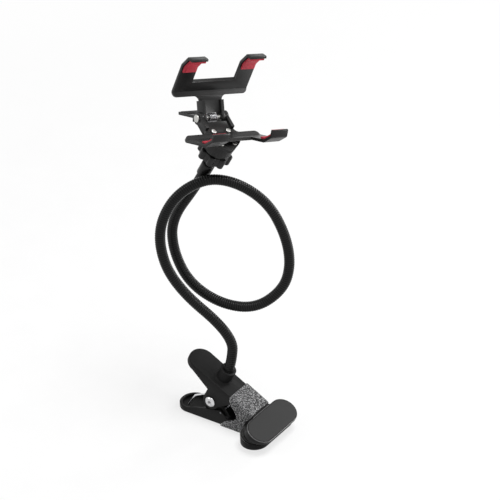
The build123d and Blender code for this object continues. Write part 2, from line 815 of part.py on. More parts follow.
upper_right_soft = finger_liner(1, 1)
with BuildPart() as upper_right_pad:
    add(upper_right_soft)
upper_right_pad.part.label = "upper_right_pad"
export_step(upper_right_pad.part, "parts/upper_right_pad.step")

lower_left_soft = finger_liner(-1, -1)
with BuildPart() as lower_left_pad:
    add(lower_left_soft)
lower_left_pad.part.label = "lower_left_pad"
export_step(lower_left_pad.part, "parts/lower_left_pad.step")

lower_right_soft = finger_liner(-1, 1)
with BuildPart() as lower_right_pad:
    add(lower_right_soft)
lower_right_pad.part.label = "lower_right_pad"
export_step(lower_right_pad.part, "parts/lower_right_pad.step")
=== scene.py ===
import json
import bmesh
import bpy
import numpy as np
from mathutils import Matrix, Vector

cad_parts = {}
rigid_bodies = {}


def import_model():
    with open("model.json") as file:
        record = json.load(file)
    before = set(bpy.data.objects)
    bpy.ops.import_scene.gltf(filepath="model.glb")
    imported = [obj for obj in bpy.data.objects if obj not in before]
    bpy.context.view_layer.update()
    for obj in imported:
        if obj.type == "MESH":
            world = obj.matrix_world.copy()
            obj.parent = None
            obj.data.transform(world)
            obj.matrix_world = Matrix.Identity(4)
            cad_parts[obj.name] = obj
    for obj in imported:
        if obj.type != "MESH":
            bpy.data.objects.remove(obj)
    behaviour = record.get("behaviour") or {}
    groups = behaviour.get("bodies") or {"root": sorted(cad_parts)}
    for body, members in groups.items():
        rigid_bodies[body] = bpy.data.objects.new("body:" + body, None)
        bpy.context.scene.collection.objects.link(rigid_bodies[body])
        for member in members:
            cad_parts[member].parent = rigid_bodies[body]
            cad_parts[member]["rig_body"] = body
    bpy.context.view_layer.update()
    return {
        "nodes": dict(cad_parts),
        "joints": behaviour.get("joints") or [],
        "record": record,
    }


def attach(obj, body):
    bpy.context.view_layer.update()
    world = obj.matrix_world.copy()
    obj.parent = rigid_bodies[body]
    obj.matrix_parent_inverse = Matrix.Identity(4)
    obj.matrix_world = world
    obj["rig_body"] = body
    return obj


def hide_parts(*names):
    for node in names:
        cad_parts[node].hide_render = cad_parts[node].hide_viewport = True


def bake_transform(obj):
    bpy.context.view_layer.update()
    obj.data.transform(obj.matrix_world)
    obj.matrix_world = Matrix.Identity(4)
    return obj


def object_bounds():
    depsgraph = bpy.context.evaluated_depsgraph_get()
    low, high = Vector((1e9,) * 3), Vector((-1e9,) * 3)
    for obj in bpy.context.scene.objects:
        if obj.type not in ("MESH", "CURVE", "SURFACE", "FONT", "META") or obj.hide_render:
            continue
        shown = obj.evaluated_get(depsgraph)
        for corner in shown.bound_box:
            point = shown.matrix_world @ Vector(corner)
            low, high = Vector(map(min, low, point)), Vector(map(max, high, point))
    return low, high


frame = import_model()

# Lower jaw: a T-shaped half of the desk clamp, moulded in black plastic with a fine spark-eroded
# skin. Its inner cheeks carry the rivet, and a cross pin runs through its walls.
mm = 0.001
jaw_tilt, clamp_pitch = np.radians(13.8), np.radians(11.0)
pad_length, pad_depth, pad_stagger = 62.0 * mm, 26.0 * mm, 3.5 * mm
jaw_edge, jaw_gloss, rim_gloss, rim_polish = 0.45 * mm, 0.12, 0.7, 0.3
panel_inset, panel_fade, rim_offset = 0.9 * mm, 0.1 * mm, 0.6 * mm
groove_core, groove_limit, groove_depth = 0.15 * mm, 0.35 * mm, 0.25 * mm
rim_core, rim_limit = 0.2 * mm, 0.28 * mm
# Of these levels, the panel level is a painted sheen, the groove level painted shade and the rim level a
# painted highlight.
dark_level, pale_level, panel_sheen_level, groove_shade_level, rim_highlight_level = 0.004, 0.007, 0.032, 0.002, 0.09
same_point, flat_turn, edge_turn = 0.002 * mm, np.radians(0.6), np.radians(28.0)


def softened(node, width):
    """A copy of a CAD solid whose triangles are joined into flat faces, with every edge that turns by
    more than the edge turn rounded by a two-step bevel of the given width."""
    body = frame["nodes"][node]["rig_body"]
    piece = bpy.data.objects.new(node + "_moulding", frame["nodes"][node].data.copy())
    bpy.context.scene.collection.objects.link(piece)
    shape = bmesh.new()
    shape.from_mesh(piece.data)
    bmesh.ops.remove_doubles(shape, verts=shape.verts, dist=same_point)
    bmesh.ops.dissolve_limit(shape, angle_limit=flat_turn, verts=shape.verts, edges=shape.edges)
    shape.to_mesh(piece.data)
    shape.free()
    piece.data.shade_smooth()
    rounding = piece.modifiers.new("edges", "BEVEL")
    rounding.width = width
    rounding.segments = 2
    rounding.limit_method = "ANGLE"
    rounding.angle_limit = edge_turn
    rounding.harden_normals = True
    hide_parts(node)
    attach(piece, body)
    return piece


def coated(piece, material):
    """Gives a piece one material, which takes the place of what the solid brought along."""
    piece.data.materials.clear()
    piece.data.materials.append(material)


def grey(level):
    """A neutral colour of one level."""
    return (level, level, level)


def finish_parts(material):
    """The node tree of a finish, its Principled shader and its Object coordinates."""
    tree = material.node_tree
    return tree, tree.nodes["Principled BSDF"], tree.nodes["Texture Coordinate"].outputs["Object"]


def new_finish(name, roughness, specular=0.5):
    """A material with its Principled shader and Object coordinates: (material, tree, shader, place)."""
    material = bpy.data.materials.new(name)
    material.use_nodes = True
    material.node_tree.nodes.new("ShaderNodeTexCoord")
    tree, shader, place = finish_parts(material)
    shader.inputs["Roughness"].default_value = roughness
    shader.inputs["Specular IOR Level"].default_value = specular
    return material, tree, shader, place


def speckle(tree, place, scale, detail=3.0):
    """A noise whose grains are about one over the scale, in metres."""
    grain = tree.nodes.new("ShaderNodeTexNoise")
    grain.inputs["Scale"].default_value = scale
    grain.inputs["Detail"].default_value = detail
    tree.links.new(place, grain.inputs["Vector"])
    return grain.outputs["Fac"]


def graded(tree, value, low, high, start=0.3, stop=0.7):
    """A colour that goes from low to high as the value goes from start to stop."""
    ramp = tree.nodes.new("ShaderNodeValToRGB")
    ramp.color_ramp.elements[0].position = start
    ramp.color_ramp.elements[1].position = stop
    ramp.color_ramp.elements[0].color = (*low, 1)
    ramp.color_ramp.elements[1].color = (*high, 1)
    tree.links.new(value, ramp.inputs["Fac"])
    return ramp.outputs["Color"]


def ranged(tree, value, low, high, start=0.3, stop=0.7):
    """A number that goes from low to high as the value goes from start to stop."""
    span = tree.nodes.new("ShaderNodeMapRange")
    span.inputs["From Min"].default_value = start
    span.inputs["From Max"].default_value = stop
    span.inputs["To Min"].default_value = low
    span.inputs["To Max"].default_value = high
    tree.links.new(value, span.inputs["Value"])
    return span.outputs["Result"]


def raised(tree, shader, height, depth, strength=1.0):
    """Bump of the given depth in metres on the shader, over any bump that is there already."""
    bump = tree.nodes.new("ShaderNodeBump")
    bump.inputs["Strength"].default_value = strength
    bump.inputs["Distance"].default_value = depth
    tree.links.new(height, bump.inputs["Height"])
    for below in shader.inputs["Normal"].links:
        tree.links.new(below.from_socket, bump.inputs["Normal"])
    tree.links.new(bump.outputs["Normal"], shader.inputs["Normal"])


def moulded_black(name, low, high, smooth, rough, specular):
    """Black moulded plastic: fine grain in the bump, faint flow clouds in colour and roughness."""
    material, tree, shader, place = new_finish(name, smooth, specular)
    clouds = speckle(tree, place, scale=55)
    tree.links.new(graded(tree, clouds, low, high), shader.inputs["Base Color"])
    tree.links.new(ranged(tree, clouds, smooth, rough), shader.inputs["Roughness"])
    grain = speckle(tree, place, scale=2600, detail=2.0)
    raised(tree, shader, grain, depth=0.03 * mm, strength=0.7)
    return material


def local_place(tree, place, centre, turn):
    """Object coordinates seen from a centre, along axes turned by the three angles."""
    seen = tree.nodes.new("ShaderNodeMapping")
    seen.vector_type = "TEXTURE"
    seen.inputs["Location"].default_value = centre
    seen.inputs["Rotation"].default_value = turn
    tree.links.new(place, seen.inputs["Vector"])
    return seen.outputs["Vector"]


def local_axes(tree, place, centre, turn):
    """The x and the y of Object coordinates seen from a centre, along turned axes."""
    split = tree.nodes.new("ShaderNodeSeparateXYZ")
    tree.links.new(local_place(tree, place, centre, turn), split.inputs["Vector"])
    return split.outputs["X"], split.outputs["Y"]


def worked_out(tree, operation, first, second=0.0):
    """A math node on one socket and a second socket or number."""
    result = tree.nodes.new("ShaderNodeMath")
    result.operation = operation
    tree.links.new(first, result.inputs[0])
    if isinstance(second, float):
        result.inputs[1].default_value = second
    else:
        tree.links.new(second, result.inputs[1])
    return result.outputs[0]


def length_of(tree, vector):
    """The length of a vector socket."""
    result = tree.nodes.new("ShaderNodeVectorMath")
    result.operation = "LENGTH"
    tree.links.new(vector, result.inputs[0])
    return result.outputs["Value"]


def distance(tree, x, y):
    """The root of x^2 + y^2."""
    pair = tree.nodes.new("ShaderNodeCombineXYZ")
    tree.links.new(x, pair.inputs["X"])
    tree.links.new(y, pair.inputs["Y"])
    return length_of(tree, pair.outputs["Vector"])


def stripe(tree, value, middle, core, limit):
    """One within the core on both sides of the middle, and down to zero at the limit."""
    off = worked_out(tree, "ABSOLUTE", worked_out(tree, "SUBTRACT", value, middle))
    return ranged(tree, off, low=1.0, high=0.0, start=core, stop=limit)


def feeding(shader, name):
    """The socket that is linked to one of the shader's inputs."""
    return shader.inputs[name].links[0].from_socket


def mixed(tree, share, below, above):
    """The colour that goes from below, a socket, to above, a colour, as the share goes from 0 to 1."""
    blend = tree.nodes.new("ShaderNodeMix")
    blend.data_type = "RGBA"
    tree.links.new(share, blend.inputs["Factor"])
    tree.links.new(below, blend.inputs["A"])
    blend.inputs["B"].default_value = (*above, 1)
    return blend.outputs["Result"]


def jaw_plastic(name, lean, back):
    """Black plastic with a panel on the pad's back whose lighter colour is a painted sheen, inside a fine
    groove that follows the pad's outline and is darkened by painted shade, and a polished rim outside it
    whose light colour is a painted highlight. All go with the distance from the pad's middle line: root of
    x^2 + max(|y| - half, 0)^2, in the jaw's own leaning frame with its centre on the pad."""
    dark, pale = grey(dark_level), grey(pale_level)
    material = moulded_black(name, dark, pale, smooth=0.42, rough=0.54, specular=jaw_gloss)
    tree, shader, place = finish_parts(material)
    centre = (-back * np.cos(lean), 0, back * np.sin(lean))
    x, y = local_axes(tree, place, centre, (0, lean, 0))
    middle_half = (pad_length - pad_depth) / 2
    past_end = worked_out(tree, "SUBTRACT", worked_out(tree, "ABSOLUTE", y), middle_half)
    reach = distance(tree, x, worked_out(tree, "MAXIMUM", past_end, 0.0))
    edge = pad_depth / 2 - panel_inset
    # Painted sheen: the panel's base colour is lighter than the jaw's black.
    sheen_panel = ranged(tree, reach, low=1.0, high=0.0, start=edge - panel_fade, stop=edge + panel_fade)
    # Painted shade: the groove's base colour is near black.
    groove = stripe(tree, reach, edge, groove_core, groove_limit)
    # Painted highlight: the rim's base colour is a light grey line; its lower roughness and higher specular
    # are the polish.
    rim_polish_and_highlight = stripe(tree, reach, edge + rim_offset, rim_core, rim_limit)
    painted_sheen = mixed(tree, sheen_panel, feeding(shader, "Base Color"), grey(panel_sheen_level))
    groove_shaded = mixed(tree, groove, painted_sheen, grey(groove_shade_level))
    tree.links.new(mixed(tree, rim_polish_and_highlight, groove_shaded, grey(rim_highlight_level)), shader.inputs["Base Color"])
    raised(tree, shader, worked_out(tree, "MULTIPLY", groove, -1.0), depth=groove_depth)
    polish = worked_out(tree, "MULTIPLY", rim_polish_and_highlight, rim_polish)
    polished = worked_out(tree, "SUBTRACT", feeding(shader, "Roughness"), polish)
    tree.links.new(polished, shader.inputs["Roughness"])
    gloss = ranged(tree, rim_polish_and_highlight, low=jaw_gloss, high=rim_gloss, start=0.0, stop=1.0)
    tree.links.new(gloss, shader.inputs["Specular IOR Level"])
    return material


lower_black = jaw_plastic("lower_jaw_black", clamp_pitch - jaw_tilt, pad_stagger)
coated(softened("lower_jaw", jaw_edge), lower_black)

# Upper jaw: the mirrored half with the gooseneck's boss moulded on its back. Its cheeks lap outside
# the lower ones, and the same plastic and grain run over it.
upper_black = jaw_plastic("upper_jaw_black", clamp_pitch + jaw_tilt, 0.0)
coated(softened("upper_jaw", jaw_edge), upper_black)

# Grip pads: soft black rubber liners with cross grooves, one glued to the inner face of each jaw's pad,
# so that the clamp holds an edge without marking it.
liner_edge = 0.25 * mm
clean_rubber, dusty_rubber = grey(0.020), (0.034, 0.033, 0.032)
liner_black, tree, shader, place = new_finish("liner_black", roughness=0.75, specular=0.3)
dust = speckle(tree, place, scale=420, detail=6.0)
tree.links.new(graded(tree, dust, clean_rubber, dusty_rubber), shader.inputs["Base Color"])
raised(tree, shader, speckle(tree, place, scale=1500, detail=4.0), depth=0.05 * mm)
for node in ("lower_grip_pad", "upper_grip_pad"):
    coated(softened(node, liner_edge), liner_black)

# Rivet and stop pin: a bright tubular steel rivet through both pairs of cheeks, upset into a dimpled
# head that is darker towards the dimple's middle, and a thin blued steel pin across the lower jaw ahead of
# it.
joints = {joint["name"]: joint for joint in frame["joints"]}
rivet_centre = np.array(joints["clamp_open"]["pos_m"])
rivet_turn = (np.pi / 2, 0, 0)
dimple_core, dimple_rim, dimple_dark_level = 0.9 * mm, 1.9 * mm, 0.10
rivet_edge, pin_edge = 0.3 * mm, 0.1 * mm
bright_steel, blue_steel = (0.66, 0.66, 0.67), (0.13, 0.13, 0.14)


def turned_steel(name, centre, turn, colour, roughness):
    """Steel with fine rings round an axis: a wave on the distance from the axis, which runs through the
    centre along the turned z, and stains that are darker and rougher."""
    material, tree, shader, place = new_finish(name, roughness)
    shader.inputs["Metallic"].default_value = 1.0
    rings = tree.nodes.new("ShaderNodeTexWave")
    rings.wave_type = "RINGS"
    rings.rings_direction = "Z"
    rings.inputs["Scale"].default_value = 900
    rings.inputs["Distortion"].default_value = 1.5
    tree.links.new(local_place(tree, place, centre, turn), rings.inputs["Vector"])
    stain = speckle(tree, place, scale=300, detail=5.0)
    dark = tuple(0.72 * level for level in colour)
    tree.links.new(graded(tree, stain, dark, colour, start=0.35, stop=0.6), shader.inputs["Base Color"])
    worn = ranged(tree, stain, low=roughness + 0.1, high=roughness - 0.05)
    tree.links.new(worn, shader.inputs["Roughness"])
    raised(tree, shader, rings.outputs["Fac"], depth=0.01 * mm, strength=0.4)
    return material


rivet_steel = turned_steel("rivet_steel", rivet_centre, rivet_turn, bright_steel, roughness=0.28)
tree, shader, place = finish_parts(rivet_steel)
from_axis = distance(tree, *local_axes(tree, place, rivet_centre, rivet_turn))
# The base colour darkens towards the dimple's middle.
dimple_darkening = ranged(tree, from_axis, low=0.8, high=0.0, start=dimple_core, stop=dimple_rim)
dimple = mixed(tree, dimple_darkening, feeding(shader, "Base Color"), grey(dimple_dark_level))
tree.links.new(dimple, shader.inputs["Base Color"])
coated(softened("pivot_rivet", rivet_edge), rivet_steel)
blued_steel = turned_steel("blued_steel", rivet_centre, rivet_turn, blue_steel, roughness=0.35)
coated(softened("stop_pin", pin_edge), blued_steel)

# Clamp spring: drawn steel wire wound round the rivet between the cheeks. One leg lies on each
# handle.
clamp_wire, clamp_coil, clamp_turns, clamp_wire_sides = 1.8 * mm, 4.5 * mm, 3, 14
lower_leg = np.array([(-22.0, 5.0), (-30.5, 18.05)]) * mm
across = np.array([0, 1.0, 0])
clamp_steel = (0.72, 0.72, 0.73)


def tube(points, reference, radius, around):
    """A tube on a path: path point + radius * (cos a * n + sin a * t x n), with t the tangent and n the
    reference direction made square to it. The radius may vary over stations and angles."""
    tangent = np.gradient(points, axis=0)
    tangent /= np.linalg.norm(tangent, axis=1)[:, None]
    normal = reference - tangent * (tangent @ reference)[:, None]
    normal /= np.linalg.norm(normal, axis=1)[:, None]
    side = np.cross(tangent, normal)
    angle = np.linspace(0, 2 * np.pi, around, endpoint=False)[None, :, None]
    ring = np.cos(angle) * normal[:, None] + np.sin(angle) * side[:, None]
    return points[:, None] + np.broadcast_to(radius, (len(points), around))[..., None] * ring


def skin(name, grid, ends=True):
    """A mesh from a grid of points: quads between neighbours, closed round the second index, and
    closed round the first too unless flat ends cap it."""
    rows, around = grid.shape[:2]
    index = np.arange(rows * around).reshape(rows, around)
    if not ends:
        index = np.vstack([index, index[:1]])
    beside = np.roll(index, -1, axis=1)
    faces = np.stack([index[:-1], beside[:-1], beside[1:], index[1:]], axis=-1).reshape(-1, 4).tolist()
    if ends:
        faces += [index[0, ::-1].tolist(), index[-1].tolist()]
    mesh = bpy.data.meshes.new(name)
    mesh.from_pydata(grid.reshape(-1, 3), [], faces)
    mesh.shade_smooth()
    piece = bpy.data.objects.new(name, mesh)
    bpy.context.scene.collection.objects.link(piece)
    return piece


def bent_leg(start, knee, tip, radius):
    """A straight leg, an arc of the radius about the knee, and a straight run to the tip. The arc takes
    radius * tan(turn / 2) from both runs: begin + inward * radius * (1 - cos a) + ahead * radius * sin a."""
    ahead, onward = [run / np.linalg.norm(run) for run in (knee - start, tip - knee)]
    turn = np.arccos(ahead @ onward)
    inward = (onward - ahead * np.cos(turn)) / np.sin(turn)
    begin = knee - ahead * radius * np.tan(turn / 2)
    angle = np.linspace(0, turn, 12)[:, None]
    arc = begin + inward * radius * (1 - np.cos(angle)) + ahead * radius * np.sin(angle)
    return np.vstack([start, arc, tip])


def torsion_wire(centre, x_dir, y_dir, radius, wire, turns, first, last):
    """Centre line of a torsion spring: a helix about x cross y, with a tangent leg at each end that runs
    to a knee of the plane and on to a tip. A leg leaves at the angle where its knee sees the coil's edge."""
    knees = np.array([first[0], last[0]])
    reach = np.sqrt(np.sum(knees ** 2, axis=1) - radius ** 2)
    bearing = np.arctan2(knees[:, 1], knees[:, 0])
    start = bearing[0] + np.arctan2(reach[0], radius)
    stop = bearing[1] - np.arctan2(reach[1], radius)
    sweep = (stop - start) % (2 * np.pi) + 2 * np.pi * turns
    pitch = 1.2 * wire
    slope = pitch / (2 * np.pi)
    turn = np.linspace(0, sweep, 40 * turns + 40)
    angle = start + turn
    coil = np.stack([radius * np.cos(angle), radius * np.sin(angle), slope * (turn - sweep / 2)], axis=1)
    heading = np.stack([-radius * np.sin(angle), radius * np.cos(angle), slope + 0 * angle], axis=1)
    heading /= np.linalg.norm(heading, axis=1)[:, None]
    legs = []
    for end, sign, (knee, tip) in ((0, -1, first), (-1, 1, last)):
        bend = coil[end] + sign * heading[end] * reach[end]
        toe = bend + np.append(np.subtract(tip, knee), 0)
        legs.append(bent_leg(coil[end], bend, toe, 2 * wire))
    path = np.vstack([legs[0][:0:-1], coil, legs[1][1:]])
    axes = np.array([x_dir, y_dir, np.cross(x_dir, y_dir)])
    return centre + path @ axes


def drawn_wire(name, colour):
    """Spring wire: steel with fine drawing marks, a noise in colour, roughness and bump."""
    material, tree, shader, place = new_finish(name, roughness=0.3)
    shader.inputs["Metallic"].default_value = 1.0
    marks = speckle(tree, place, scale=900, detail=5.0)
    dark = tuple(0.6 * level for level in colour)
    tree.links.new(graded(tree, marks, dark, colour, start=0.3, stop=0.55), shader.inputs["Base Color"])
    tree.links.new(ranged(tree, marks, low=0.42, high=0.24), shader.inputs["Roughness"])
    raised(tree, shader, marks, depth=0.01 * mm, strength=0.5)
    return material


def leaning(angle):
    """Directions along and out of a plane that leans down towards +X by the angle."""
    return np.array([np.cos(angle), 0, -np.sin(angle)]), np.array([np.sin(angle), 0, np.cos(angle)])


lower_along, lower_out = leaning(clamp_pitch - jaw_tilt)
bearing = 2 * jaw_tilt - np.arctan2(lower_leg[:, 1], lower_leg[:, 0])
upper_leg = np.linalg.norm(lower_leg, axis=1)[:, None] * np.stack([np.cos(bearing), np.sin(bearing)], axis=1)
clamp_line = torsion_wire(
    rivet_centre, lower_along, -lower_out, clamp_coil, clamp_wire, clamp_turns, lower_leg, upper_leg
)
clamp_spring = skin("clamp_spring_wire", tube(clamp_line, across, clamp_wire / 2, clamp_wire_sides))
coated(clamp_spring, drawn_wire("spring_steel", clamp_steel))
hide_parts("clamp_spring")
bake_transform(clamp_spring)

# Elastic band: a woven tube of heathered grey elastic stretched round both jaws behind the pads. It
# keeps the pads pressed together and draws in at its waist where it spans the gap between the jaws.
band_near, band_far, band_lean = 14.7 * mm, 39.5 * mm, np.radians(6.0)
near_draw, far_draw, band_skew = 3.0 * mm, 12.5 * mm, 1.2 * mm
band_thick, band_gap, band_sides = 1.2 * mm, 0.15 * mm, 96
edge_power, face_power = 0.55, 0.22
pucker_height, pucker_pitch, pucker_sway, pucker_waves = 0.10 * mm, 2.6 * mm, 1.2, 8
yarn_size, random_share, top_share = (0.85 * mm, 0.65 * mm), 0.65, 0.35
yarn_greys = ((0.34, 0.008), (0.52, 0.07), (0.75, 0.24))
darkest_yarn, lightest_yarn = grey(0.004), (0.58, 0.58, 0.585)
pad_edge = 5.1 * mm
jaw_half, handle_half, handle_reach = 12.0 * mm, 13.3 * mm, 96.5 * mm
jaw_corner = 1.0 * mm
jaw_flare = round((handle_half - jaw_half) / handle_reach, 5)
meet_height = round(pad_edge + pad_depth / 2 * np.tan(jaw_tilt), 6)
meeting_along, meeting_out = leaning(clamp_pitch)
upper_along, upper_out = leaning(clamp_pitch + jaw_tilt)
band_up = leaning(clamp_pitch + band_lean)[1]


def woven_band(around):
    """A strip carried round the jaws: corner centre + (corner radius + lift) * outward direction, where
    the centre walks a rectangle and the direction turns a quarter at each corner. The rectangle reaches
    from the lower to the upper jaw's face along the band's own leaning plane, so it grows with the
    distance behind the pads. The strip's section is a flat oval. Its front edge follows the two pads, and
    both edges draw in by a cosine bell half-way up each side. Returns the points, the girth and the
    distance behind the pads."""
    side = np.linspace(-1, 1, 40)
    bend = np.linspace(0, np.pi / 2, 9)[1:-1]
    one, zero = np.ones_like(side), np.zeros_like(bend)
    centre_y = np.concatenate([-side, zero - 1, -one, zero - 1, side, zero + 1, one, zero + 1])
    centre_z = np.concatenate([one, zero + 1, -side, zero - 1, -one, zero - 1, side, zero + 1])
    quarters = np.arange(4) * np.pi / 2 + np.pi / 2
    heading = np.concatenate([np.r_[0 * side + quarter, bend + quarter] for quarter in quarters])
    waist = np.cos(np.pi / 2 * centre_z) ** 2 * np.abs(np.cos(heading))
    oval = np.linspace(0, 2 * np.pi, around, endpoint=False)
    wide = np.sign(np.cos(oval)) * np.abs(np.cos(oval)) ** edge_power
    thick = np.sign(np.sin(oval)) * np.abs(np.sin(oval)) ** face_power
    near = band_near - band_skew * centre_z + near_draw * waist
    far = band_far - far_draw * waist
    middle, half = (near + far) / 2, (far - near) / 2
    back = middle[:, None] + half[:, None] * wide
    ripple = 2 * np.pi * back / pucker_pitch + pucker_sway * np.sin(pucker_waves * heading)[:, None]
    pucker = pucker_height * np.sin(ripple) * (thick > 0.9)
    out = jaw_corner + band_gap + band_thick * (0.5 + 0.5 * thick) + pucker
    top = (meet_height + back * (meeting_along @ upper_out)) / (band_up @ upper_out)
    low = (-meet_height + back * (meeting_along @ lower_out)) / (band_up @ lower_out)
    y = centre_y[:, None] * (jaw_half + jaw_flare * back - jaw_corner) + out * np.cos(heading)[:, None]
    z = (top + low) / 2 + centre_z[:, None] * ((top - low) / 2 - jaw_corner) + out * np.sin(heading)[:, None]
    grid = -back[..., None] * meeting_along + y[..., None] * across + z[..., None] * band_up
    crown = around // 4
    girth = np.cumsum(np.r_[0, np.hypot(np.diff(y[:, crown]), np.diff(z[:, crown]))])
    return grid, np.broadcast_to(girth[:, None], back.shape), back


def heathered_elastic(name, yarn):
    """Woven elastic: a cell of one yarn each way on the weave attribute. A cell's grey is a share of its
    own random number, plus a share in every second cell, where the light yarn is on top. Its crown is
    round."""
    material, tree, shader = new_finish(name, roughness=0.85, specular=0.2)[:3]
    shader.inputs["Sheen Weight"].default_value = 0.08
    shader.inputs["Sheen Roughness"].default_value = 0.6
    along = tree.nodes.new("ShaderNodeAttribute")
    along.attribute_name = "weave"
    cells = tree.nodes.new("ShaderNodeMapping")
    cells.inputs["Scale"].default_value = (1 / yarn[0], 1 / yarn[1], 1)
    cells.inputs["Location"].default_value = (0.33, 0.33, 0.5)
    tree.links.new(along.outputs["Vector"], cells.inputs["Vector"])
    knots = tree.nodes.new("ShaderNodeTexVoronoi")
    knots.feature = "F1"
    knots.inputs["Scale"].default_value = 1.0
    knots.inputs["Randomness"].default_value = 0.35
    tree.links.new(cells.outputs["Vector"], knots.inputs["Vector"])
    tint = tree.nodes.new("ShaderNodeSeparateColor")
    tree.links.new(knots.outputs["Color"], tint.inputs["Color"])
    turns = tree.nodes.new("ShaderNodeTexChecker")
    turns.inputs["Scale"].default_value = 1.0
    tree.links.new(cells.outputs["Vector"], turns.inputs["Vector"])
    on_top = worked_out(tree, "MULTIPLY", turns.outputs["Fac"], top_share)
    own = worked_out(tree, "MULTIPLY", tint.outputs["Red"], random_share)
    ramp = tree.nodes.new("ShaderNodeValToRGB")
    stops = ramp.color_ramp.elements
    stops[0].color = (*darkest_yarn, 1)
    stops[1].color = (*lightest_yarn, 1)
    for spot, level in yarn_greys:
        stops.new(spot).color = (level, level, 1.02 * level, 1)
    tree.links.new(worked_out(tree, "ADD", on_top, own), ramp.inputs["Fac"])
    tree.links.new(ramp.outputs["Color"], shader.inputs["Base Color"])
    crown = ranged(tree, knots.outputs["Distance"], low=1.0, high=0.0, start=0.0, stop=0.75)
    raised(tree, shader, crown, depth=0.2 * mm)
    return material


band_grid, band_girth, band_back = woven_band(band_sides)
band = skin("elastic_band_cloth", band_grid, ends=False)
weave = band.data.attributes.new("weave", "FLOAT_VECTOR", "POINT")
weave_places = np.stack([band_girth, band_back, 0 * band_back], axis=-1)
weave.data.foreach_set("vector", weave_places.astype(np.float32).ravel())
coated(band, heathered_elastic("band_elastic", yarn_size))
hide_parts("elastic_band")
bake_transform(band)

# Neck fixing: a plug in the neck's bore, held by a bolt and washer from inside the upper jaw. They are
# plain zinc-plated steel and black plastic, seen only when the clamp is opened wide.
neck_back = 58.5 * mm
bolt_edge, washer_edge = 0.2 * mm, 0.1 * mm
zinc_grey = (0.52, 0.52, 0.50)
foot = meet_height * upper_out - neck_back * upper_along
zinc = turned_steel("zinc_plate", foot, (0, clamp_pitch + jaw_tilt, 0), zinc_grey, roughness=0.38)
coated(softened("neck_bolt", bolt_edge), zinc)
coated(softened("neck_washer", washer_edge), zinc)
coated(softened("base_plug", bolt_edge), upper_black)

# Gooseneck: a spiral-wound steel tube with a black ribbed cover. It rises from the boss, makes one
# loop and ends in the ferrule. The ribs are wound on it, and the bend points are seen from its foot.
neck_radius, neck_sides = 4.7 * mm, 26
bore_radius, bore_depth = 3.25 * mm, 9.4 * mm
rib_pitch, rib_depth, rib_power = 2.0 * mm, 0.40 * mm, 0.45
neck_seat, neck_rise, neck_tail, neck_end = 1.05 * mm, 20 * mm, 44 * mm, 20.05 * mm
# The groove colour is painted shade down in the rib grooves.
rib_crown, rib_groove_shade = grey(0.014), grey(0.0005)
neck_bends = np.array([
    (8, 4, 47), (-41, -19, 95), (-56, -21, 139), (-48, -10, 175), (-26, 8, 195),
    (-4, 25, 191), (19, 41, 170), (33, 48, 138), (38, 49, 108), (34, 43, 84),
    (15, 28, 65), (-13, 14, 67), (-41, 5, 84), (-58, 5, 112), (-61, 8, 142),
]) * mm
ball = np.array(joints["head_swivel"]["pos_m"])
stud_dir = np.array(joints["head_swivel"]["axis"])
route = np.vstack([
    foot + upper_out * neck_seat,
    foot + upper_out * neck_rise,
    foot + neck_bends,
    ball - stud_dir * neck_tail,
    ball - stud_dir * neck_end,
])


def smooth_line(bends, step):
    """Points at an even step on a smooth line past the bends. From the middle of each run to the middle
    of the next goes a parabola: (1 - s)^2 * middle + 2 s (1 - s) * bend + s^2 * next middle."""
    middles = (bends[:-1] + bends[1:]) / 2
    s = np.linspace(0, 1, 120, endpoint=False)[:, None]
    begin, finish = middles[:-1, None], middles[1:, None]
    bows = (1 - s) ** 2 * begin + 2 * s * (1 - s) * bends[1:-1, None] + s ** 2 * finish
    dense = np.vstack([bends[:1], bows.reshape(-1, 3), middles[-1:], bends[-1:]])
    travel = np.r_[0, np.cumsum(np.linalg.norm(np.diff(dense, axis=0), axis=1))]
    even = np.linspace(0, travel[-1], int(round(travel[-1] / step)) + 1)
    return np.stack([np.interp(even, travel, dense[:, axis]) for axis in range(3)], axis=1), even


neck_line, neck_travel = smooth_line(route, rib_pitch / 8)
loop_normal = np.linalg.svd(neck_line - neck_line.mean(0), full_matrices=False)[2][2]
winding = np.linspace(0, 2 * np.pi, neck_sides, endpoint=False)
phase = np.pi * (neck_travel[:, None] / rib_pitch - winding / (2 * np.pi))
groove = 1 - np.abs(np.cos(phase)) ** rib_power
ribs = tube(neck_line, loop_normal, neck_radius - rib_depth * groove, neck_sides)
bore = tube(neck_line, loop_normal, bore_radius, neck_sides)[neck_travel < bore_depth][::-1]
neck = skin("gooseneck_ribs", np.vstack([bore, ribs]))
depth = neck.data.attributes.new("groove", "FLOAT", "POINT")
depth.data.foreach_set("value", np.vstack([np.ones(bore.shape[:2]), groove]).astype(np.float32).ravel())

neck_black, tree, shader, place = new_finish("neck_black", roughness=0.2, specular=0.12)
furrow = tree.nodes.new("ShaderNodeAttribute")
furrow.attribute_name = "groove"
# Painted shade: the base colour goes from the crown's black to near black down in the rib grooves.
shade = graded(tree, furrow.outputs["Fac"], rib_crown, rib_groove_shade, start=0.06, stop=0.35)
tree.links.new(shade, shader.inputs["Base Color"])
rub = speckle(tree, place, scale=160, detail=5.0)
tree.links.new(ranged(tree, rub, low=0.16, high=0.26), shader.inputs["Roughness"])
raised(tree, shader, speckle(tree, place, scale=2200, detail=2.0), depth=0.02 * mm, strength=0.6)
coated(neck, neck_black)
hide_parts("gooseneck")
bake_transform(neck)

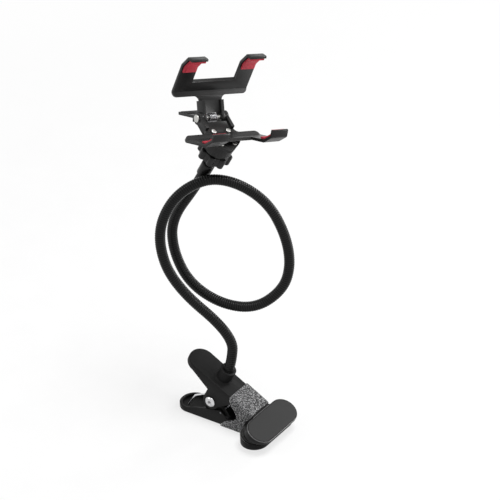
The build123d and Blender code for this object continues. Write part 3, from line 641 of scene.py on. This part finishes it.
# Ball joint: a moulded ferrule on the neck's end carries a ball stud. Both are black plastic, as is the
# clip's slit socket, which closes on the ball when the lobed ring is screwed up.
ferrule_edge, stud_edge, socket_edge, ring_edge = 0.3 * mm, 0.2 * mm, 0.3 * mm, 0.35 * mm
ferrule_dark, ferrule_pale = grey(0.006), grey(0.010)
ball_dark, ball_pale = (0.012, 0.012, 0.013), (0.020, 0.020, 0.021)
clip_dark, clip_pale = grey(0.010), grey(0.016)
ferrule_black = moulded_black(
    "ferrule_black", ferrule_dark, ferrule_pale, smooth=0.22, rough=0.32, specular=0.22
)
coated(softened("top_ferrule", ferrule_edge), ferrule_black)
ball_black = moulded_black("ball_black", ball_dark, ball_pale, smooth=0.25, rough=0.34, specular=0.35)
coated(softened("ball_stud", stud_edge), ball_black)
clip_black = moulded_black("clip_black", clip_dark, clip_pale, smooth=0.30, rough=0.40, specular=0.22)
coated(softened("ball_socket", socket_edge), clip_black)
coated(softened("lock_nut", ring_edge), clip_black)

# Clip: two hooked claws of black plastic on a zinc-plated steel pin. The lower one is screwed to the
# socket through its shield plate, and the upper one has the thumb lever.
claw_edge, hinge_pin_edge, screw_edge = 0.4 * mm, 0.25 * mm, 0.2 * mm
coated(softened("clip_lower_claw", claw_edge), clip_black)
coated(softened("clip_upper_claw", claw_edge), clip_black)
coated(softened("clip_pin", hinge_pin_edge), zinc)
coated(softened("socket_screws", screw_edge), zinc)

# Clip spring: thinner steel wire on the clip's pin, with one leg behind the lower claw's stem and one
# under the thumb lever.
mounts = {mount["name"]: mount for mount in frame["record"]["mounts"]}
clip_hinge = np.array(joints["clip_open"]["pos_m"])
clip_out = np.array(mounts["phone_grip"]["axis"])
clip_along = -np.array(joints["clip_open"]["axis"])
clip_down = np.cross(clip_along, clip_out)
clip_wire, clip_coil, clip_turns, clip_wire_sides = 1.3 * mm, 3.25 * mm, 4, 12
stem_lean, lever_angle, leg_off = np.radians(20.0), np.radians(150.0), 2.05 * mm
stem_reach, lever_reach = (6.0 * mm, 9.5 * mm), (12.0 * mm, 18.0 * mm)
clip_steel = (0.30, 0.30, 0.31)


def clip_leg(angle, off, reaches):
    """The knee and the tip of a leg beside a line from the pin at an angle in the clip's plane:
    reach * (cos a, sin a) + off * (-sin a, cos a)."""
    run = np.array([np.cos(angle), np.sin(angle)])
    side = np.array([-np.sin(angle), np.cos(angle)])
    return [run * reach + side * off for reach in reaches]


stem_leg = clip_leg(np.pi / 2 - stem_lean, leg_off, stem_reach)
lever_leg = clip_leg(-lever_angle, -leg_off, lever_reach)
clip_line = torsion_wire(
    clip_hinge, clip_out, clip_down, clip_coil, clip_wire, clip_turns, stem_leg, lever_leg
)
clip_spring = skin("clip_spring_wire", tube(clip_line, clip_along, clip_wire / 2, clip_wire_sides))
coated(clip_spring, drawn_wire("clip_spring_steel", clip_steel))
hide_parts("clip_spring")
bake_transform(clip_spring)

# Finger pads: soft red rubber strips, moulded to the curve of the four hooked fingers and glued inside
# them. Their skin is matt, with a faint bloom in colour and roughness.
finger_pad_edge = 0.3 * mm
deep_red, pale_red = (0.38, 0.016, 0.032), (0.54, 0.038, 0.064)
pad_red, tree, shader, place = new_finish("pad_red", roughness=0.6, specular=0.35)
bloom = speckle(tree, place, scale=380, detail=5.0)
tree.links.new(graded(tree, bloom, deep_red, pale_red), shader.inputs["Base Color"])
tree.links.new(ranged(tree, bloom, low=0.52, high=0.70), shader.inputs["Roughness"])
raised(tree, shader, speckle(tree, place, scale=1800, detail=3.0), depth=0.04 * mm)
for node in ("upper_left_pad", "upper_right_pad", "lower_left_pad", "lower_right_pad"):
    coated(softened(node, finger_pad_edge), pad_red)

# Stage: a pale floor under the lower jaw that keeps the shadow, soft white surroundings, and a long
# lens that looks down on the clamp's pads from the right.
floor_half, floor_gap = 6.0, 0.1 * mm
near_bleach, bleach_start, bleach_stop = 0.72, 0.4, 1.0
sky_glow = 0.32
paper_dark, paper_pale = grey(0.86), grey(0.90)
azimuth, elevation = np.radians(35.0), np.radians(32.5)
aim_right, aim_up, camera_distance = -17.23 * mm, 156.79 * mm, 2.0


def seen_rays(tree):
    """One where the ray is from the camera, a reflection or a transmission, and zero elsewhere."""
    path = tree.nodes.new("ShaderNodeLightPath").outputs
    reflected = worked_out(tree, "MAXIMUM", path["Is Camera Ray"], path["Is Glossy Ray"])
    return worked_out(tree, "MAXIMUM", reflected, path["Is Transmission Ray"])


floor_mesh = bpy.data.meshes.new("floor")
floor_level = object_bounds()[0].z - floor_gap
corners = [(x * floor_half, y * floor_half, floor_level) for x, y in ((-1, -1), (1, -1), (1, 1), (-1, 1))]
floor_mesh.from_pydata(corners, [], [(0, 1, 2, 3)])
floor = bpy.data.objects.new("floor", floor_mesh)
bpy.context.scene.collection.objects.link(floor)
paper, tree, shader, place = new_finish("white_paper", roughness=0.9, specular=0.1)
fibres = speckle(tree, place, scale=30)
tree.links.new(graded(tree, fibres, paper_dark, paper_pale), shader.inputs["Base Color"])
glow = tree.nodes.new("ShaderNodeEmission")
glow.inputs["Strength"].default_value = 1.0
from_middle = length_of(tree, place)
bleached = ranged(tree, from_middle, low=near_bleach, high=1.0, start=bleach_start, stop=bleach_stop)
cover = tree.nodes.new("ShaderNodeMixShader")
tree.links.new(worked_out(tree, "MULTIPLY", seen_rays(tree), bleached), cover.inputs["Fac"])
tree.links.new(shader.outputs["BSDF"], cover.inputs[1])
tree.links.new(glow.outputs["Emission"], cover.inputs[2])
tree.links.new(cover.outputs["Shader"], tree.nodes["Material Output"].inputs["Surface"])
coated(floor, paper)

world = bpy.data.worlds.new("studio")
bpy.context.scene.world = world
world.use_nodes = True
sky = world.node_tree
backdrop = sky.nodes["Background"]
backdrop.inputs["Color"].default_value = (1, 1, 1, 1)
strength = ranged(sky, seen_rays(sky), low=sky_glow, high=1.0, start=0.0, stop=1.0)
sky.links.new(strength, backdrop.inputs["Strength"])


def soft_box(name, place, aim, size, power):
    """A square area lamp at a place, turned to face the aim."""
    lamp = bpy.data.lights.new(name, "AREA")
    lamp.size = size
    lamp.energy = power
    piece = bpy.data.objects.new(name, lamp)
    piece.location = place
    piece.rotation_euler = (Vector(aim) - Vector(place)).to_track_quat("-Z", "Y").to_euler()
    bpy.context.scene.collection.objects.link(piece)


soft_box("key", place=(0.35, 0.1, 1.6), aim=(-0.05, 0, 0.15), size=0.6, power=19)
soft_box("fill", place=(-1.0, -0.9, 0.9), aim=(-0.05, 0, 0.15), size=0.4, power=4)
soft_box("side", place=(1.1, 1.0, 0.35), aim=(-0.05, 0, 0.1), size=0.7, power=8)
soft_box("back", place=(0.25, 1.4, 0.5), aim=(-0.05, 0, 0.2), size=0.25, power=7)

lens = bpy.data.cameras.new("camera")
lens.sensor_width = 36.0
lens.lens = 161.3
camera = bpy.data.objects.new("camera", lens)
camera.rotation_euler = (np.pi / 2 - elevation, 0, azimuth)
camera.location = camera.rotation_euler.to_matrix() @ Vector((aim_right, aim_up, camera_distance))
bpy.context.scene.collection.objects.link(camera)
bpy.context.scene.camera = camera
bpy.context.scene.view_settings.view_transform = "Standard"
